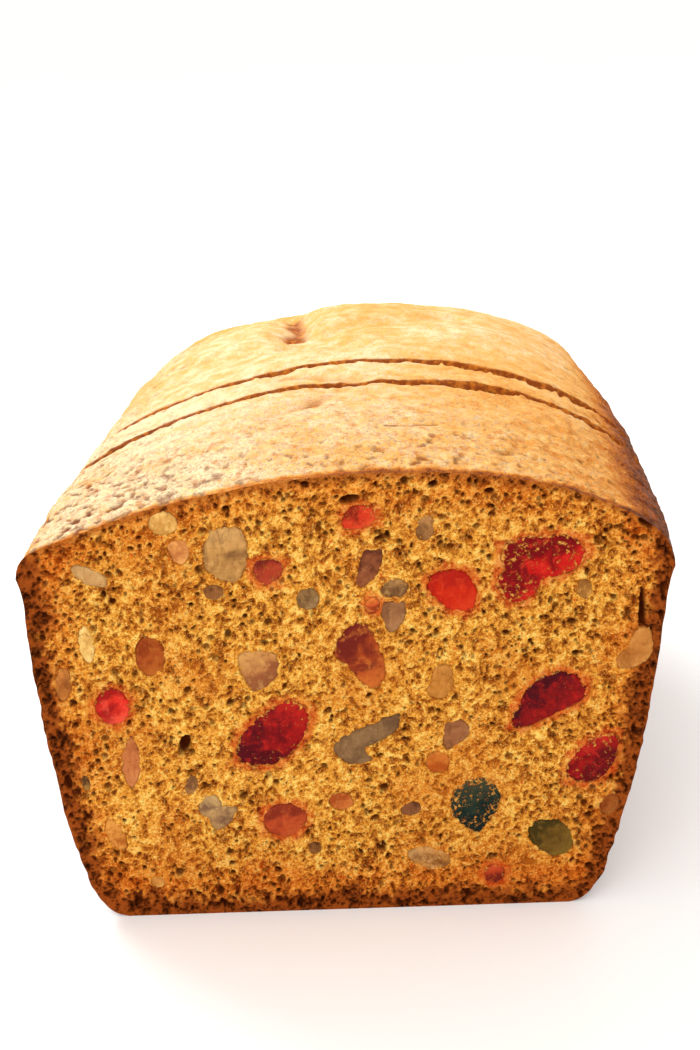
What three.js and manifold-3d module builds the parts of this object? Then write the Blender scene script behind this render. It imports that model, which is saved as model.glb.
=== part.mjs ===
// A fruit cake baked in a loaf tin, cut at the near end, with its slices still standing together.
// Millimetres, +Z up. The cut face looks towards -Y, and the baked far end towards +Y.
import * as THREE from "three";
import { mergeVertices } from "three/addons/utils/BufferGeometryUtils.js";
import Module from "manifold-3d";

const wasm = await Module();
wasm.setup();

// The whole loaf, before anything is cut from it.
const HALF_WIDTH = 62; // at the shoulder, where the cake rose over the tin's rim
const HALF_LENGTH = 110;
// Exponents of the loaf's plan in its near and far halves: 2 is an ellipse, and more is squarer.
const NEAR_SQUARENESS = 8;
const FAR_SQUARENESS = 4.2;
const DOME_FOOT = 77.4; // height at which the top crust starts to dome
const DOME_RISE = 19.2;
// Exponents of the dome's fall from the crest to each side and to the ends.
const DOME_FALL_LEFT = 1.95;
const DOME_FALL_RIGHT = 2.9;
const DOME_FALL_ENDS = 3.45;
const DOME_EDGE = 39; // a high exponent: the dome turns down sharply at its very edge

// Each side baked narrower towards the far end: by how much, and how far behind the first cut that starts.
const DRAWN_IN_LEFT = { by: 4, from: 0 };
const DRAWN_IN_RIGHT = { by: 8, from: 45 };

// Half width of the tin-baked wall at each height, from the flat base up to the overhanging shoulder.
const WALL = [
  [45, 0],
  [49.3, 2.6],
  [52, 8.5],
  [54.4, 17.5],
  [56.5, 28],
  [58.6, 44],
  [60.1, 59],
  [60.6, 67.5],
  [61.9, 73],
];
const DOME_RINGS = [0.985, 0.95, 0.88, 0.78, 0.65, 0.5, 0.33, 0.16];
const LOAF_SIDES = 76;

// The knife's cuts: distance along the loaf from the first cut, and how far each is turned from square.
const CUT_LENGTH = 38; // what has already been cut off and eaten
const FRONT_Y = -HALF_LENGTH + CUT_LENGTH;
const CUTS = {
  front: { y: FRONT_Y, turn: 6.4 },
  near: { y: FRONT_Y + 49.5, turn: 6.5 },
  far: { y: FRONT_Y + 66.5, turn: 4.5 },
};
const CUT_GAP = 0.8; // width left by the knife between two slices
const REACH = 400; // larger than the loaf, for the blocks that trim it

// Fruit and nuts in the cut face.
const FACE_MIDDLE = { across: 2.2, up: -0.9 }; // where the pieces' places are measured from
const CLEARANCE = 0.3; // between a piece and the pocket that it sits in
const POCKET_MOUTH = 1; // how far a pocket runs out through the cut face
const PIECE_DEPTH = 0.55; // depth of a piece behind the cut, over the smaller of its width and height
const LARGEST_DEPTH = 7;
const SHELL_RINGS = [0, 0.7];
const SHELL_END = 0.25; // size of the flat that closes a piece's rounded back
const OVAL_POINTS = 12;
const POINTS_PER_CORNER = 2;

const COLOURS = {
  cake: 0xb8792f,
  cherry: 0xa81e22,
  green_cherry: 0x3f4a22,
  walnut: 0xa08a66,
  almond: 0xd2ab77,
  raisin: 0x6e4a40,
  sultana: 0xa8602c,
  date: 0x7e3420,
  apricot: 0xc7582c,
  pineapple: 0xb2906c,
};

// Each piece's name, the place of its middle on the cut face (across, up), and its cut outline:
// an oval as width, height and tilt in degrees, or a clockwise list of corners that a smooth curve joins.
const PIECES = [
  { name: "cherry_1", at: [-17.1, 74.5],
    corners: [[-3, 1.6], [-0.4, 2.4], [2.8, 1.6], [2.2, -1.2], [-0.4, -3.2], [-2.2, -2]] },
  { name: "cherry_2", at: [-0.7, 85],
    corners: [[-2.8, -0.6], [-0.6, 2.1], [3.5, 1], [3.5, -1.4], [0.6, -2.6], [-2.4, -2.6]] },
  { name: "cherry_3", at: [2.3, 67.1], oval: [3, 3.8, -20] },
  { name: "cherry_4", at: [17.4, 69.7],
    corners: [[-5.2, 0.6], [-4.1, 3.3], [-0.7, 4.5], [2.6, 3.9], [4.6, 0.8], [4.5, -2.9],
      [2.6, -4.6], [-1.1, -3.7], [-3.7, -1.2]] },
  { name: "cherry_5", at: [33.8, 74.5],
    corners: [[-7.5, 4.4], [-1.1, 6], [3.9, 6.2], [8.4, 5], [9.2, 2], [6.5, -1.2], [2.1, -2.6],
      [0, -3.6], [-0.6, -6], [-3.9, -8], [-6.5, -7], [-8.6, -3.8], [-7.5, -0.2]] },
  { name: "cherry_6", at: [-47.2, 47.4], oval: [6.8, 8, 0] },
  { name: "cherry_7", at: [-16.7, 40.9],
    corners: [[-7.4, -3.2], [-5.6, 1.1], [-1.9, 4.3], [2.4, 6.9], [5.8, 6], [7.5, 3.2], [5.8, -1.7],
      [3, -5.4], [-0.9, -7.3], [-4.7, -7.1], [-7.2, -6]] },
  { name: "cherry_8", at: [36.7, 46.2],
    corners: [[-7.6, -5.5], [-6.4, -1.1], [-3.9, 3.6], [-0.4, 6.2], [4.1, 6.4], [7.1, 3.6],
      [7.4, 0.6], [3.6, -1.6], [-0.4, -3.7], [-4.5, -5.8]] },
  { name: "cherry_9", at: [46, 33.3],
    corners: [[-5, -4.5], [-5, -0.6], [-2.1, 3.4], [1.9, 5.6], [4.7, 5.1], [4.8, 1], [3.4, -2.8],
      [0, -5.1]] },
  { name: "cherry_10", at: [27.1, 8.1], oval: [4.5, 4.7, 15] },
  { name: "green_cherry_1", at: [22.8, 23.6],
    corners: [[-5.3, 1.1], [-2.8, 5.3], [0.2, 6.8], [3.8, 5.3], [5.7, 2.4], [3.8, -2.4],
      [0.8, -6.6], [-2.3, -4.7], [-4.9, -1.1]] },
  { name: "green_cherry_2", at: [38.4, 15.9],
    corners: [[-4.8, 2.7], [-2.9, 4.2], [1.9, 3.8], [4.4, 0.7], [4.4, -2.9], [1.9, -4.5],
      [-2.3, -2.9], [-4.4, -0.4]] },
  { name: "walnut_1", at: [-36, 84.2],
    corners: [[-3.1, 0.4], [-1.3, 2.3], [1.8, 1.8], [2.6, -1], [0.4, -2.3], [-2.2, -1.8]] },
  { name: "walnut_2", at: [-33.3, 79],
    corners: [[-2.4, 1.6], [1.5, 1.8], [1.9, -0.4], [0.6, -3], [-0.7, -2.8]] },
  { name: "walnut_3", at: [-25.1, 77.6],
    corners: [[-2.6, 5.6], [3.3, 5.4], [4.5, 1.4], [4.2, -1.4], [2, -5.6], [-0.7, -5], [-3.9, -2.6],
      [-4.1, 1.8], [-3.6, 4.2]] },
  { name: "walnut_4", at: [-9.8, 68.7], oval: [4.6, 4.8, 20] },
  { name: "walnut_5", at: [12, 82.4], oval: [3.6, 5.6, -10] },
  { name: "walnut_6", at: [6.4, 70.4],
    corners: [[-2.8, -0.2], [-0.7, 2], [2.6, 1.2], [2.4, -1.2], [-2.2, -1.4]] },
  { name: "walnut_7", at: [6.3, 64.7],
    corners: [[-2.2, 2.7], [2.2, 3.1], [2.3, 0.2], [0.5, -3.1], [-0.8, -3.4], [-2, -0.8]] },
  { name: "walnut_8", at: [-1.1, 36.9],
    corners: [[-4.7, 0.3], [-1, 3.5], [3.9, 5.6], [8.8, 8], [9, 4.4], [7.1, 2.8], [4.7, 1.3],
      [2.4, 0.6], [2.5, -0.9], [3.8, -2.4], [1.8, -3.4], [-1.4, -3.1], [-3.6, -1.2]] },
  { name: "walnut_9", at: [19.1, 39.6],
    corners: [[-2.4, 2.8], [1.1, 3], [2.6, 0.2], [0.4, -1.8], [-2.3, -3.6]] },
  { name: "walnut_10", at: [-28.1, 24],
    corners: [[-3.6, 1.6], [-2.3, 4.1], [-0.2, 3.9], [1.5, 1.5], [4.3, 0.9], [3.8, -1.1],
      [1.7, -3.5], [-0.2, -4.4], [-1.8, -1.8], [-3.3, -0.4]] },
  { name: "walnut_11", at: [10.2, 23.4], oval: [4.6, 3.2, 15] },
  { name: "walnut_12", at: [52.9, 56.8],
    corners: [[-4.3, -2.3], [-1.6, 0.5], [-0.1, 4.2], [2.4, 4.8], [3.6, 2.1], [3, -2.1],
      [-0.7, -4.2], [-3.4, -4]] },
  { name: "walnut_13", at: [-56.2, 52.3], oval: [3, 7.4, -4] },
  { name: "almond_1", at: [-50.2, 74.2],
    corners: [[-3.6, 1.6], [-2.4, 2.4], [0.6, 1.2], [3.4, -0.6], [2.9, -2.4], [-1.5, -0.8]] },
  { name: "almond_2", at: [15.2, 51.1],
    corners: [[-0.9, 3.1], [1.9, 3.5], [3, 0], [1.9, -3.1], [0, -4.2], [-2.8, -2.1], [-1.5, 0]] },
  { name: "almond_3", at: [-44.2, 35.3], oval: [3.2, 12, -2] },
  { name: "almond_4", at: [-51.4, 60.4], oval: [2.6, 8.4, 6] },
  { name: "almond_5", at: [-47.9, 19.4], oval: [3.2, 8.2, 22] },
  { name: "almond_6", at: [-40.2, 8.6], oval: [3.2, 2.6, -30] },
  { name: "pecan_1", at: [14.3, 11.8],
    corners: [[-4.9, 0.9], [-3.6, 2.6], [0, 2.9], [3, 1.8], [4.4, -0.7], [3, -2.1], [0, -2.5],
      [-3, -0.9]] },
  { name: "raisin_1", at: [-27.4, 70.5], oval: [4.1, 3.4, 0] },
  { name: "raisin_2", at: [1.9, 74.8],
    corners: [[-0.9, 4], [2.4, 3.6], [2.2, 1.6], [0.7, -2.1], [-1.5, -4.2], [-2.9, -3.6],
      [-2.6, -1.2], [-1.9, 1.6]] },
  { name: "raisin_3", at: [-32.8, 30], oval: [2.5, 4.8, -18] },
  { name: "raisin_4", at: [-53.1, 31.2], oval: [1.5, 3.9, 8] },
  { name: "raisin_5", at: [-8.9, 15.2], oval: [2.8, 3.2, 0] },
  { name: "sultana_1", at: [-39.6, 57.8],
    corners: [[-2.2, 3.1], [-0.6, 4.4], [1.3, 3.7], [2.8, 1.2], [2.6, -1.9], [0.4, -4.4],
      [-2.2, -3.3]] },
  { name: "date_1", at: [0.3, 56.9],
    corners: [[-1.1, 7.3], [1.5, 6.2], [2.6, 4], [4.7, -2.7], [4.4, -6.2], [2.2, -7.6],
      [-0.6, -5.4], [-2.8, -2.3], [-5.6, 0.4], [-5.2, 3.5], [-3.9, 4.6]] },
  { name: "apricot_1", at: [15.3, 33.6], oval: [5, 5.2, 0] },
  { name: "apricot_2", at: [-14.9, 21.7],
    corners: [[-4.4, 1.3], [-2.9, 3.1], [2.3, 3.6], [4.6, 1.3], [3.8, -2.2], [0.2, -4],
      [-3.2, -2.7]] },
  { name: "apricot_3", at: [-3.7, 25.6], oval: [5.3, 4, -10] },
  { name: "apricot_4", at: [34.2, 10.6], oval: [4, 1.6, -5] },
  { name: "apricot_5", at: [49.7, 23.3], oval: [4, 5, -20] },
  { name: "green_citron_1", at: [42.4, 69.6], oval: [3.2, 4.4, 10] },
  { name: "pineapple_1", at: [-19, 54.3],
    corners: [[-4.7, 2.7], [-2.2, 4.2], [3, 3.5], [3.9, 0], [2, -3.1], [-1.3, -4.6], [-3.2, -1.5]] },
];

// A closed solid through rings of equal count, in order, whose first and last rings are closed by fans.
function loft(rings) {
  const count = rings[0].length;
  const middle = (ring) => ring.reduce((sum, p) => sum.add(p), new THREE.Vector3()).divideScalar(count);
  const points = rings.flat();
  const firstMiddle = points.push(middle(rings[0])) - 1;
  const lastMiddle = points.push(middle(rings.at(-1))) - 1;
  const lastRing = (rings.length - 1) * count;
  const index = [];
  for (let i = 0; i < count; i += 1) {
    const next = (i + 1) % count;
    index.push(firstMiddle, next, i);
    index.push(lastMiddle, lastRing + i, lastRing + next);
    for (let r = 0; r < lastRing; r += count) {
      index.push(r + i, r + next, r + count + next);
      index.push(r + i, r + count + next, r + count + i);
    }
  }
  return new THREE.BufferGeometry().setFromPoints(points).setIndex(index);
}

// How far out a point of the plan lies, at shares u and v of the half width and half length: 1 is the edge.
function outwardShare(u, v) {
  const squareness = v < 0 ? NEAR_SQUARENESS : FAR_SQUARENESS;
  return (Math.abs(u) ** squareness + Math.abs(v) ** squareness) ** (1 / squareness);
}

// The point of the plan's edge in the direction of an angle.
function planPoint(angle) {
  const c = Math.cos(angle);
  const s = Math.sin(angle);
  const size = outwardShare(c, s);
  return [c / size, s / size];
}

// Height of the top crust at shares u and v of the half width and half length.
function domeHeight(u, v) {
  const across = 1 - Math.abs(u) ** (u < 0 ? DOME_FALL_LEFT : DOME_FALL_RIGHT);
  const along = 1 - Math.abs(v) ** DOME_FALL_ENDS;
  return DOME_FOOT + DOME_RISE * across * along * (1 - outwardShare(u, v) ** DOME_EDGE);
}

// Each side narrows smoothly towards the far end.
function drawnIn(x, y) {
  const { by, from } = x < 0 ? DRAWN_IN_LEFT : DRAWN_IN_RIGHT;
  const share = THREE.MathUtils.smoothstep(y, FRONT_Y + from, HALF_LENGTH);
  return x * (1 - (by * share) / HALF_WIDTH);
}

function wholeLoaf() {
  const ring = (halfWidth, halfLength, height) =>
    Array.from({ length: LOAF_SIDES }, (_, i) => {
      const [u, v] = planPoint((2 * Math.PI * i) / LOAF_SIDES);
      const y = v * halfLength;
      return new THREE.Vector3(drawnIn(u * halfWidth, y), y, height(u, v));
    });
  const wall = WALL.map(([halfWidth, z]) => ring(halfWidth, HALF_LENGTH - HALF_WIDTH + halfWidth, () => z));
  const dome = DOME_RINGS.map((t) =>
    ring(HALF_WIDTH * t, HALF_LENGTH * t, (u, v) => domeHeight(u * t, v * t)),
  );
  return loft([...wall, ...dome]);
}

function solidOf(geometry) {
  const bare = geometry.clone();
  bare.deleteAttribute("normal");
  bare.deleteAttribute("uv");
  const merged = mergeVertices(bare);
  return new wasm.Manifold(
    new wasm.Mesh({
      numProp: 3,
      vertProperties: merged.getAttribute("position").array,
      triVerts: new Uint32Array(merged.index.array),
    }),
  );
}

function geometryOf(solid) {
  const { vertProperties, triVerts } = solid.getMesh();
  const geometry = new THREE.BufferGeometry();
  geometry.setAttribute("position", new THREE.BufferAttribute(vertProperties, 3));
  geometry.setIndex(new THREE.BufferAttribute(triVerts, 1));
  return geometry;
}

// Everything behind a cut, as a block large enough to hold the rest of the loaf.
function behind(cut, setBack) {
  const block = new THREE.BoxGeometry(REACH, REACH, REACH);
  block.translate(0, REACH / 2 + setBack, 0);
  block.rotateZ(THREE.MathUtils.degToRad(cut.turn));
  block.translate(0, cut.y, 0);
  return solidOf(block);
}

// A piece's outline on the cut face, in its own X and Z, pushed outwards by a margin.
function pieceOutline({ oval, corners }, margin) {
  if (oval) {
    const [width, height] = oval;
    return Array.from({ length: OVAL_POINTS }, (_, i) => {
      const angle = (2 * Math.PI * i) / OVAL_POINTS;
      return [(width / 2 + margin) * Math.cos(angle), -(height / 2 + margin) * Math.sin(angle)];
    });
  }
  const anchors = corners.map(([x, z]) => new THREE.Vector3(x, 0, z));
  const curve = new THREE.CatmullRomCurve3(anchors, true);
  const count = corners.length * POINTS_PER_CORNER;
  return Array.from({ length: count }, (_, i) => {
    const point = curve.getPoint(i / count);
    const along = curve.getTangent(i / count);
    return [point.x - along.z * margin, point.z + along.x * margin];
  });
}

// A piece of fruit or nut, cut flat at its own Y = 0 and rounded behind it. A pocket is the same shape with
// a margin all round, and it also runs out through the cut face.
function pieceGeometry(piece, margin, mouth) {
  const outline = pieceOutline(piece, margin);
  const span = (axis) => {
    const places = outline.map((p) => p[axis]);
    return Math.max(...places) - Math.min(...places);
  };
  const narrowest = Math.min(span(0), span(1)) - 2 * margin;
  const depth = Math.min(LARGEST_DEPTH, PIECE_DEPTH * narrowest) + margin;
  const ring = (scale, y) => outline.map(([x, z]) => new THREE.Vector3(x * scale, y, z * scale));
  const shell = SHELL_RINGS.map((t) => ring(Math.sqrt(1 - t * t), t * depth));
  return loft([...(mouth > 0 ? [ring(1, -mouth)] : []), ...shell, ring(SHELL_END, depth)]);
}

function material(colour, roughness) {
  return new THREE.MeshStandardMaterial({ color: colour, roughness, metalness: 0 });
}

const fruitCake = new THREE.Group();
const cutFace = new THREE.Group();
const frontTurn = THREE.MathUtils.degToRad(CUTS.front.turn);
cutFace.rotation.z = frontTurn;
const faceMiddleY = CUTS.front.y + FACE_MIDDLE.across * Math.tan(frontTurn);
cutFace.position.set(FACE_MIDDLE.across, faceMiddleY, FACE_MIDDLE.up);
fruitCake.add(cutFace);

const SAME_COLOUR = { green_citron: "green_cherry", pecan: "walnut" };
for (const piece of PIECES) {
  const stem = piece.name.replace(/_\d+$/, "");
  const kind = SAME_COLOUR[stem] ?? stem;
  const mesh = new THREE.Mesh(pieceGeometry(piece, 0, 0), material(COLOURS[kind], 0.35));
  mesh.name = piece.name;
  mesh.position.set(piece.at[0], 0, piece.at[1]);
  mesh.rotation.y = THREE.MathUtils.degToRad(-(piece.oval?.[2] ?? 0));
  mesh.userData.pocket = pieceGeometry(piece, CLEARANCE, POCKET_MOUTH);
  cutFace.add(mesh);
}
fruitCake.updateMatrixWorld(true);

const loaf = solidOf(wholeLoaf());
const slices = {
  front_slice: loaf.intersect(behind(CUTS.front, 0)).subtract(behind(CUTS.near, -CUT_GAP / 2)),
  middle_slice: loaf.intersect(behind(CUTS.near, CUT_GAP / 2)).subtract(behind(CUTS.far, -CUT_GAP / 2)),
  loaf_end: loaf.intersect(behind(CUTS.far, CUT_GAP / 2)),
};
for (const mesh of cutFace.children) {
  const pocket = solidOf(mesh.userData.pocket.clone().applyMatrix4(mesh.matrixWorld));
  slices.front_slice = slices.front_slice.subtract(pocket);
}
for (const [name, solid] of Object.entries(slices)) {
  const mesh = new THREE.Mesh(geometryOf(solid), material(COLOURS.cake, 0.9));
  mesh.name = name;
  fruitCake.add(mesh);
}

// The origin is the middle of the base of the cake's own box.
const box = new THREE.Box3().setFromObject(fruitCake);
fruitCake.position.set(-(box.min.x + box.max.x) / 2, -(box.min.y + box.max.y) / 2, -box.min.z);

export default fruitCake;
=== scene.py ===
"""A fruit cake baked in a loaf tin, cut at the near end, with its slices still standing together.

Shapes are worked out in millimetres in the loaf's own frame, whose origin lies under the middle of the
whole loaf, and are moved to the part's frame, in metres, when their meshes are made.
"""
import math
from collections import namedtuple

import bmesh
import bpy
import numpy as np
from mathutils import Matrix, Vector


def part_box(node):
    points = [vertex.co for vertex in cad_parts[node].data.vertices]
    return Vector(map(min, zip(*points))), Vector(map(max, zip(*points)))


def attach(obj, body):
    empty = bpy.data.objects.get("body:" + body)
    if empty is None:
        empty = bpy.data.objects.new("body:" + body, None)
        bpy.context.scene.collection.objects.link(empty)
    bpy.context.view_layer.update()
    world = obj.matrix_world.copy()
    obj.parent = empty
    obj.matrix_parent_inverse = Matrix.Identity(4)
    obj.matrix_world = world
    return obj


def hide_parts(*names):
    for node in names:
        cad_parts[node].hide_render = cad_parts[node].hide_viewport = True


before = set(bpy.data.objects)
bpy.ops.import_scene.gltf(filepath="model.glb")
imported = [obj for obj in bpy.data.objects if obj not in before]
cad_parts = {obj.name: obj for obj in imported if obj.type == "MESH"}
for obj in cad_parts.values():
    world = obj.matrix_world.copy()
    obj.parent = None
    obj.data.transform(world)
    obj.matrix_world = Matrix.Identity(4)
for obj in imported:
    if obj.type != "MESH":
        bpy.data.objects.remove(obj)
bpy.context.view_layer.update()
MM = 0.001

# ---- the loaf's shape
HALF_WIDTH = 62.0
HALF_LENGTH = 110.0
NEAR_SQUARENESS = 8.0
FAR_SQUARENESS = 4.2
NARROWING_LEFT = 4.0  # how much each side comes in towards the baked end
NARROWING_RIGHT = 8.0
NARROWING_RIGHT_START = 45.0  # how far behind the first cut the right side starts to come in
DOME_FOOT = 77.4
DOME_RISE = 19.2
DOME_FALL_LEFT = 1.95
DOME_FALL_RIGHT = 2.9
DOME_FALL_ENDS = 3.45
DOME_EDGE = 39
SHOULDER_HALF_WIDTH = 61.9
SHOULDER_HEIGHT = 73.0
SHOULDER_ROUNDING = 0.05  # share of the half width over which the dome turns down into the wall
FRONT_Y = -72.0
CUT_GAP = 0.8
# Each cut: where it crosses the middle of the loaf, and its turn in degrees.
CUTS = {"front": (FRONT_Y, 6.4), "near": (FRONT_Y + 49.5, 6.5), "far": (FRONT_Y + 66.5, 4.5)}
# The wall's outline, from the foot to the shoulder: distance from the middle, and height.
WALL = np.array([
    (45, 0), (47.4, 0.7), (49.3, 2.6), (50.9, 5.6), (52, 8.5), (54.4, 17.5), (56.5, 28), (58.6, 44),
    (60.1, 59), (60.6, 67.5), (61.2, 71), (SHOULDER_HALF_WIDTH, SHOULDER_HEIGHT),
])
SPINE_END = HALF_LENGTH - HALF_WIDTH

# How finely the meshes are divided.
ACROSS = 576  # cells across the base and across the top of a section
UP = 432  # cells up each wall
REACH_STEPS = 30
WALL_SMOOTHING = 12  # cells on each side over which the corners of the wall's outline are rounded
FRONT_COLUMNS = 112
MIDDLE_COLUMNS = 38
END_COLUMNS = (68, 104)  # along the spine, and round the baked end
SLICE_STRIDE = 2  # a crust keeps every second or third point round the loaf
END_STRIDE = 3
CAP_RINGS = 14

# The loaf frame's origin, in the part's frame.
TO_PART = np.array([
    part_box("front_slice")[1].x / MM - SHOULDER_HALF_WIDTH,
    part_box("loaf_end")[1].y / MM - (SPINE_END + SHOULDER_HALF_WIDTH),
    0.0,
])

# The plane of the first cut.
FACE_TURN = math.radians(CUTS["front"][1])
FACE_ALONG = np.array([math.cos(FACE_TURN), math.sin(FACE_TURN), 0.0])
FACE_OUT = np.array([math.sin(FACE_TURN), -math.cos(FACE_TURN), 0.0])
FACE_POINT = np.array([0.0, FRONT_Y, 0.0])


# ---- small mathematics
def smoothstep(value, low, high):
    t = np.clip((value - low) / (high - low), 0, 1)
    return t * t * (3 - 2 * t)


def blend(a, b, share):
    return a + (b - a) * share


def smoothed(values, span):
    """Values averaged over the neighbours within a span, with the first and last value kept."""
    weights = np.hanning(2 * span + 1)
    before = 2 * values[0] - values[span:0:-1]
    after = 2 * values[-1] - values[-2 : -span - 2 : -1]
    return np.convolve(np.concatenate([before, values, after]), weights / weights.sum(), "valid")


def lattice(cell, seed):
    """A repeatable number from -1 to 1 for each whole-numbered cell; large factors scatter its bits."""
    h = np.full(cell.shape[:-1], seed * 2654435761 % 2**32, np.uint64)
    for axis in range(cell.shape[-1]):
        h ^= (cell[..., axis].astype(np.int64) + 4096).astype(np.uint64) * np.uint64(0x9E3779B97F4A7C15)
        h ^= h >> np.uint64(29)
        h *= np.uint64(0xBF58476D1CE4E5B9)
        h ^= h >> np.uint64(32)
    return (h % np.uint64(65521)).astype(float) / 32760 - 1


def noise(points, wavelength, seed):
    """Smooth noise from -1 to 1, for points of two or three coordinates."""
    p = points / wavelength
    cell = np.floor(p)
    f = p - cell
    f = f * f * (3 - 2 * f)
    dims = points.shape[-1]
    total = 0.0
    for corner in np.ndindex(*(2,) * dims):
        weight = np.prod(np.where(np.array(corner) == 1, f, 1 - f), axis=-1)
        total = total + weight * lattice(cell + np.array(corner), seed)
    return total


def octaves(points, *layers):
    """A sum of noises, each given by its size, its wavelength and its seed."""
    return sum(size * noise(points, wavelength, seed) for size, wavelength, seed in layers)


# ---- the loaf's surface
def outward_share(u, v):
    squareness = np.where(v < 0, NEAR_SQUARENESS, FAR_SQUARENESS)
    return (np.abs(u) ** squareness + np.abs(v) ** squareness) ** (1 / squareness)


def dome_height(u, v):
    fall = np.where(u < 0, DOME_FALL_LEFT, DOME_FALL_RIGHT)
    across = 1 - np.minimum(np.abs(u), 1) ** fall
    along = 1 - np.minimum(np.abs(v), 1) ** DOME_FALL_ENDS
    edge = 1 - np.minimum(outward_share(u, v), 1) ** DOME_EDGE
    return DOME_FOOT + DOME_RISE * across * along * edge


def narrowing(x, y):
    left = 1 - NARROWING_LEFT / HALF_WIDTH * smoothstep(y, FRONT_Y, HALF_LENGTH)
    right = 1 - NARROWING_RIGHT / HALF_WIDTH * smoothstep(y, FRONT_Y + NARROWING_RIGHT_START, HALF_LENGTH)
    return np.where(x < 0, left, right)


def plan_shares(x, y, half_width, half_length):
    return x / (narrowing(x, y) * half_width), y / half_length


def reach(spine_y, angle, half_width):
    """Distance from the spine to the loaf's edge in a direction of the plan, where the wall is so wide."""
    low = np.zeros(np.broadcast(spine_y, angle, half_width).shape)
    high = low + 2 * HALF_WIDTH
    half_length = SPINE_END + half_width
    for _ in range(REACH_STEPS):
        middle = (low + high) / 2
        x = middle * np.cos(angle)
        y = spine_y + middle * np.sin(angle)
        outside = outward_share(*plan_shares(x, y, half_width, half_length)) > 1
        high = np.where(outside, middle, high)
        low = np.where(outside, low, middle)
    return low


def half_section(spine_y, angle):
    """Base, wall and top points of half sections, going outwards or upwards."""
    spine_y = spine_y[:, None]
    angle = angle[:, None]

    def place(distance, height):
        x = distance * np.cos(angle)
        y = spine_y + distance * np.sin(angle)
        return np.stack([x, y, np.broadcast_to(height, x.shape)], axis=-1)

    share = np.linspace(0, 1, ACROSS // 2 + 1)[None, :]
    base = place(share * reach(spine_y, angle, WALL[0, 0]), 0.0)

    lengths = np.concatenate([[0], np.cumsum(np.hypot(*np.diff(WALL, axis=0).T))])
    along = np.linspace(0, lengths[-1], UP + 1)
    outwards = smoothed(np.interp(along, lengths, WALL[:, 0]), WALL_SMOOTHING)
    upwards = smoothed(np.interp(along, lengths, WALL[:, 1]), WALL_SMOOTHING)
    wall = place(reach(spine_y, angle, outwards[None, :]), upwards[None, :])

    top = place(share * reach(spine_y, angle, SHOULDER_HALF_WIDTH), 0.0)
    shares = plan_shares(top[..., 0], top[..., 1], SHOULDER_HALF_WIDTH, SPINE_END + SHOULDER_HALF_WIDTH)
    turned = np.clip((share - 1 + SHOULDER_ROUNDING) / SHOULDER_ROUNDING, 0, 1)
    top[..., 2] = blend(SHOULDER_HEIGHT, dome_height(*shares), np.sqrt(1 - turned**2))
    return base, wall, top


def sections(spine_y, right_angle, left_angle):
    """Closed loops round the loaf, one for each column: base, right wall, top and left wall."""
    base_r, wall_r, top_r = half_section(spine_y, right_angle)
    base_l, wall_l, top_l = half_section(spine_y, left_angle)
    base = np.concatenate([base_l[:, :0:-1], base_r], axis=1)
    top = np.concatenate([top_l[:, :0:-1], top_r], axis=1)
    return np.concatenate([base[:, :-1], wall_r[:, :-1], top[:, :0:-1], wall_l[:, :0:-1]], axis=1)


def waviness(points):
    """The baked outside isn't true: slow swells, and smaller ones that are strongest on the walls."""
    slow = octaves(points, (0.5, 38, 1), (0.35, 17, 2), (0.26, 8, 3))
    fine = octaves(points, (0.24, 3.2, 4), (0.2, 1.5, 5))
    on_top = smoothstep(points[..., 2], 40, 78)
    above_foot = smoothstep(points[..., 2], 0, 5)
    return (slow * (0.35 + 0.65 * on_top) + fine * (1 - 0.65 * on_top)) * above_foot


def normals_of(grid):
    """Outward normals of a grid of closed loops."""
    along = np.roll(grid, -1, axis=1) - np.roll(grid, 1, axis=1)
    n = np.cross(along, np.gradient(grid, axis=0))
    length = np.linalg.norm(n, axis=-1, keepdims=True)
    return -n / np.maximum(length, 1e-9)


# ---- marks in the crust
# Each crease: its path, as places across and behind the first cut, its half width and depth, and how far
# it opened to the crumb.
CREASES = [
    ([(-24, 150), (-21, 128), (-19, 108)], 4.4, 3.4, 0.8),
    ([(-19, 110), (-15, 92), (-6, 80)], 6.0, 1.5, 0.1),
    ([(-17, 96), (-3, 108), (16, 119)], 6.5, 1.9, 0.1),
    ([(-20, 60), (-12, 57), (-2, 50), (-9, 36)], 3.8, 0.9, 0.4),
    ([(-9, 36), (-18, 31)], 3.0, 0.6, 0.25),
    ([(24, 44), (38, 33)], 4.0, 0.5, 0.1),
    ([(-48, 27.5), (-34, 24.5)], 0.45, 0.25, 0.5),
    ([(-46, 12), (-37, 10.5)], 0.5, 0.3, 0.5),
    ([(6, 21), (16, 22.5)], 0.5, 0.35, 0.9),
    ([(-42, 25.5), (-14, 26.5), (34, 30)], 0.3, 0.14, 0.35),
    ([(26, 14), (36, 15)], 0.45, 0.25, 0.5),
]
# Each swelling: its place across and behind the first cut, its axes, its turn in degrees and its height.
BULGES = [
    (26, 96, 26, 20, 0, 1.7),
    (-42, 104, 18, 24, 0, 1.5),
    (4, 76, 15, 8, 15, 0.5),
    (-2, 132, 16, 14, 0, 0.8),
]
BULGE_STEEPNESS = 1.6
SCRATCH_HALF_WIDTH = 1  # narrower creases than this are scratches, broken here and there
PIT_DEPTH = 0.5
LIP_DROP = 1.35  # how far the knife pressed the crust down beside a cut


def swelling(x, back, bulge):
    at_x, at_back, long_axis, short_axis, turn, height = bulge
    a = math.radians(turn)
    dx, dy = x - at_x, back - at_back
    p = (dx * math.cos(a) + dy * math.sin(a)) / long_axis
    q = (dy * math.cos(a) - dx * math.sin(a)) / short_axis
    return height * np.exp(-(p * p + q * q) * BULGE_STEEPNESS)


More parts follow.
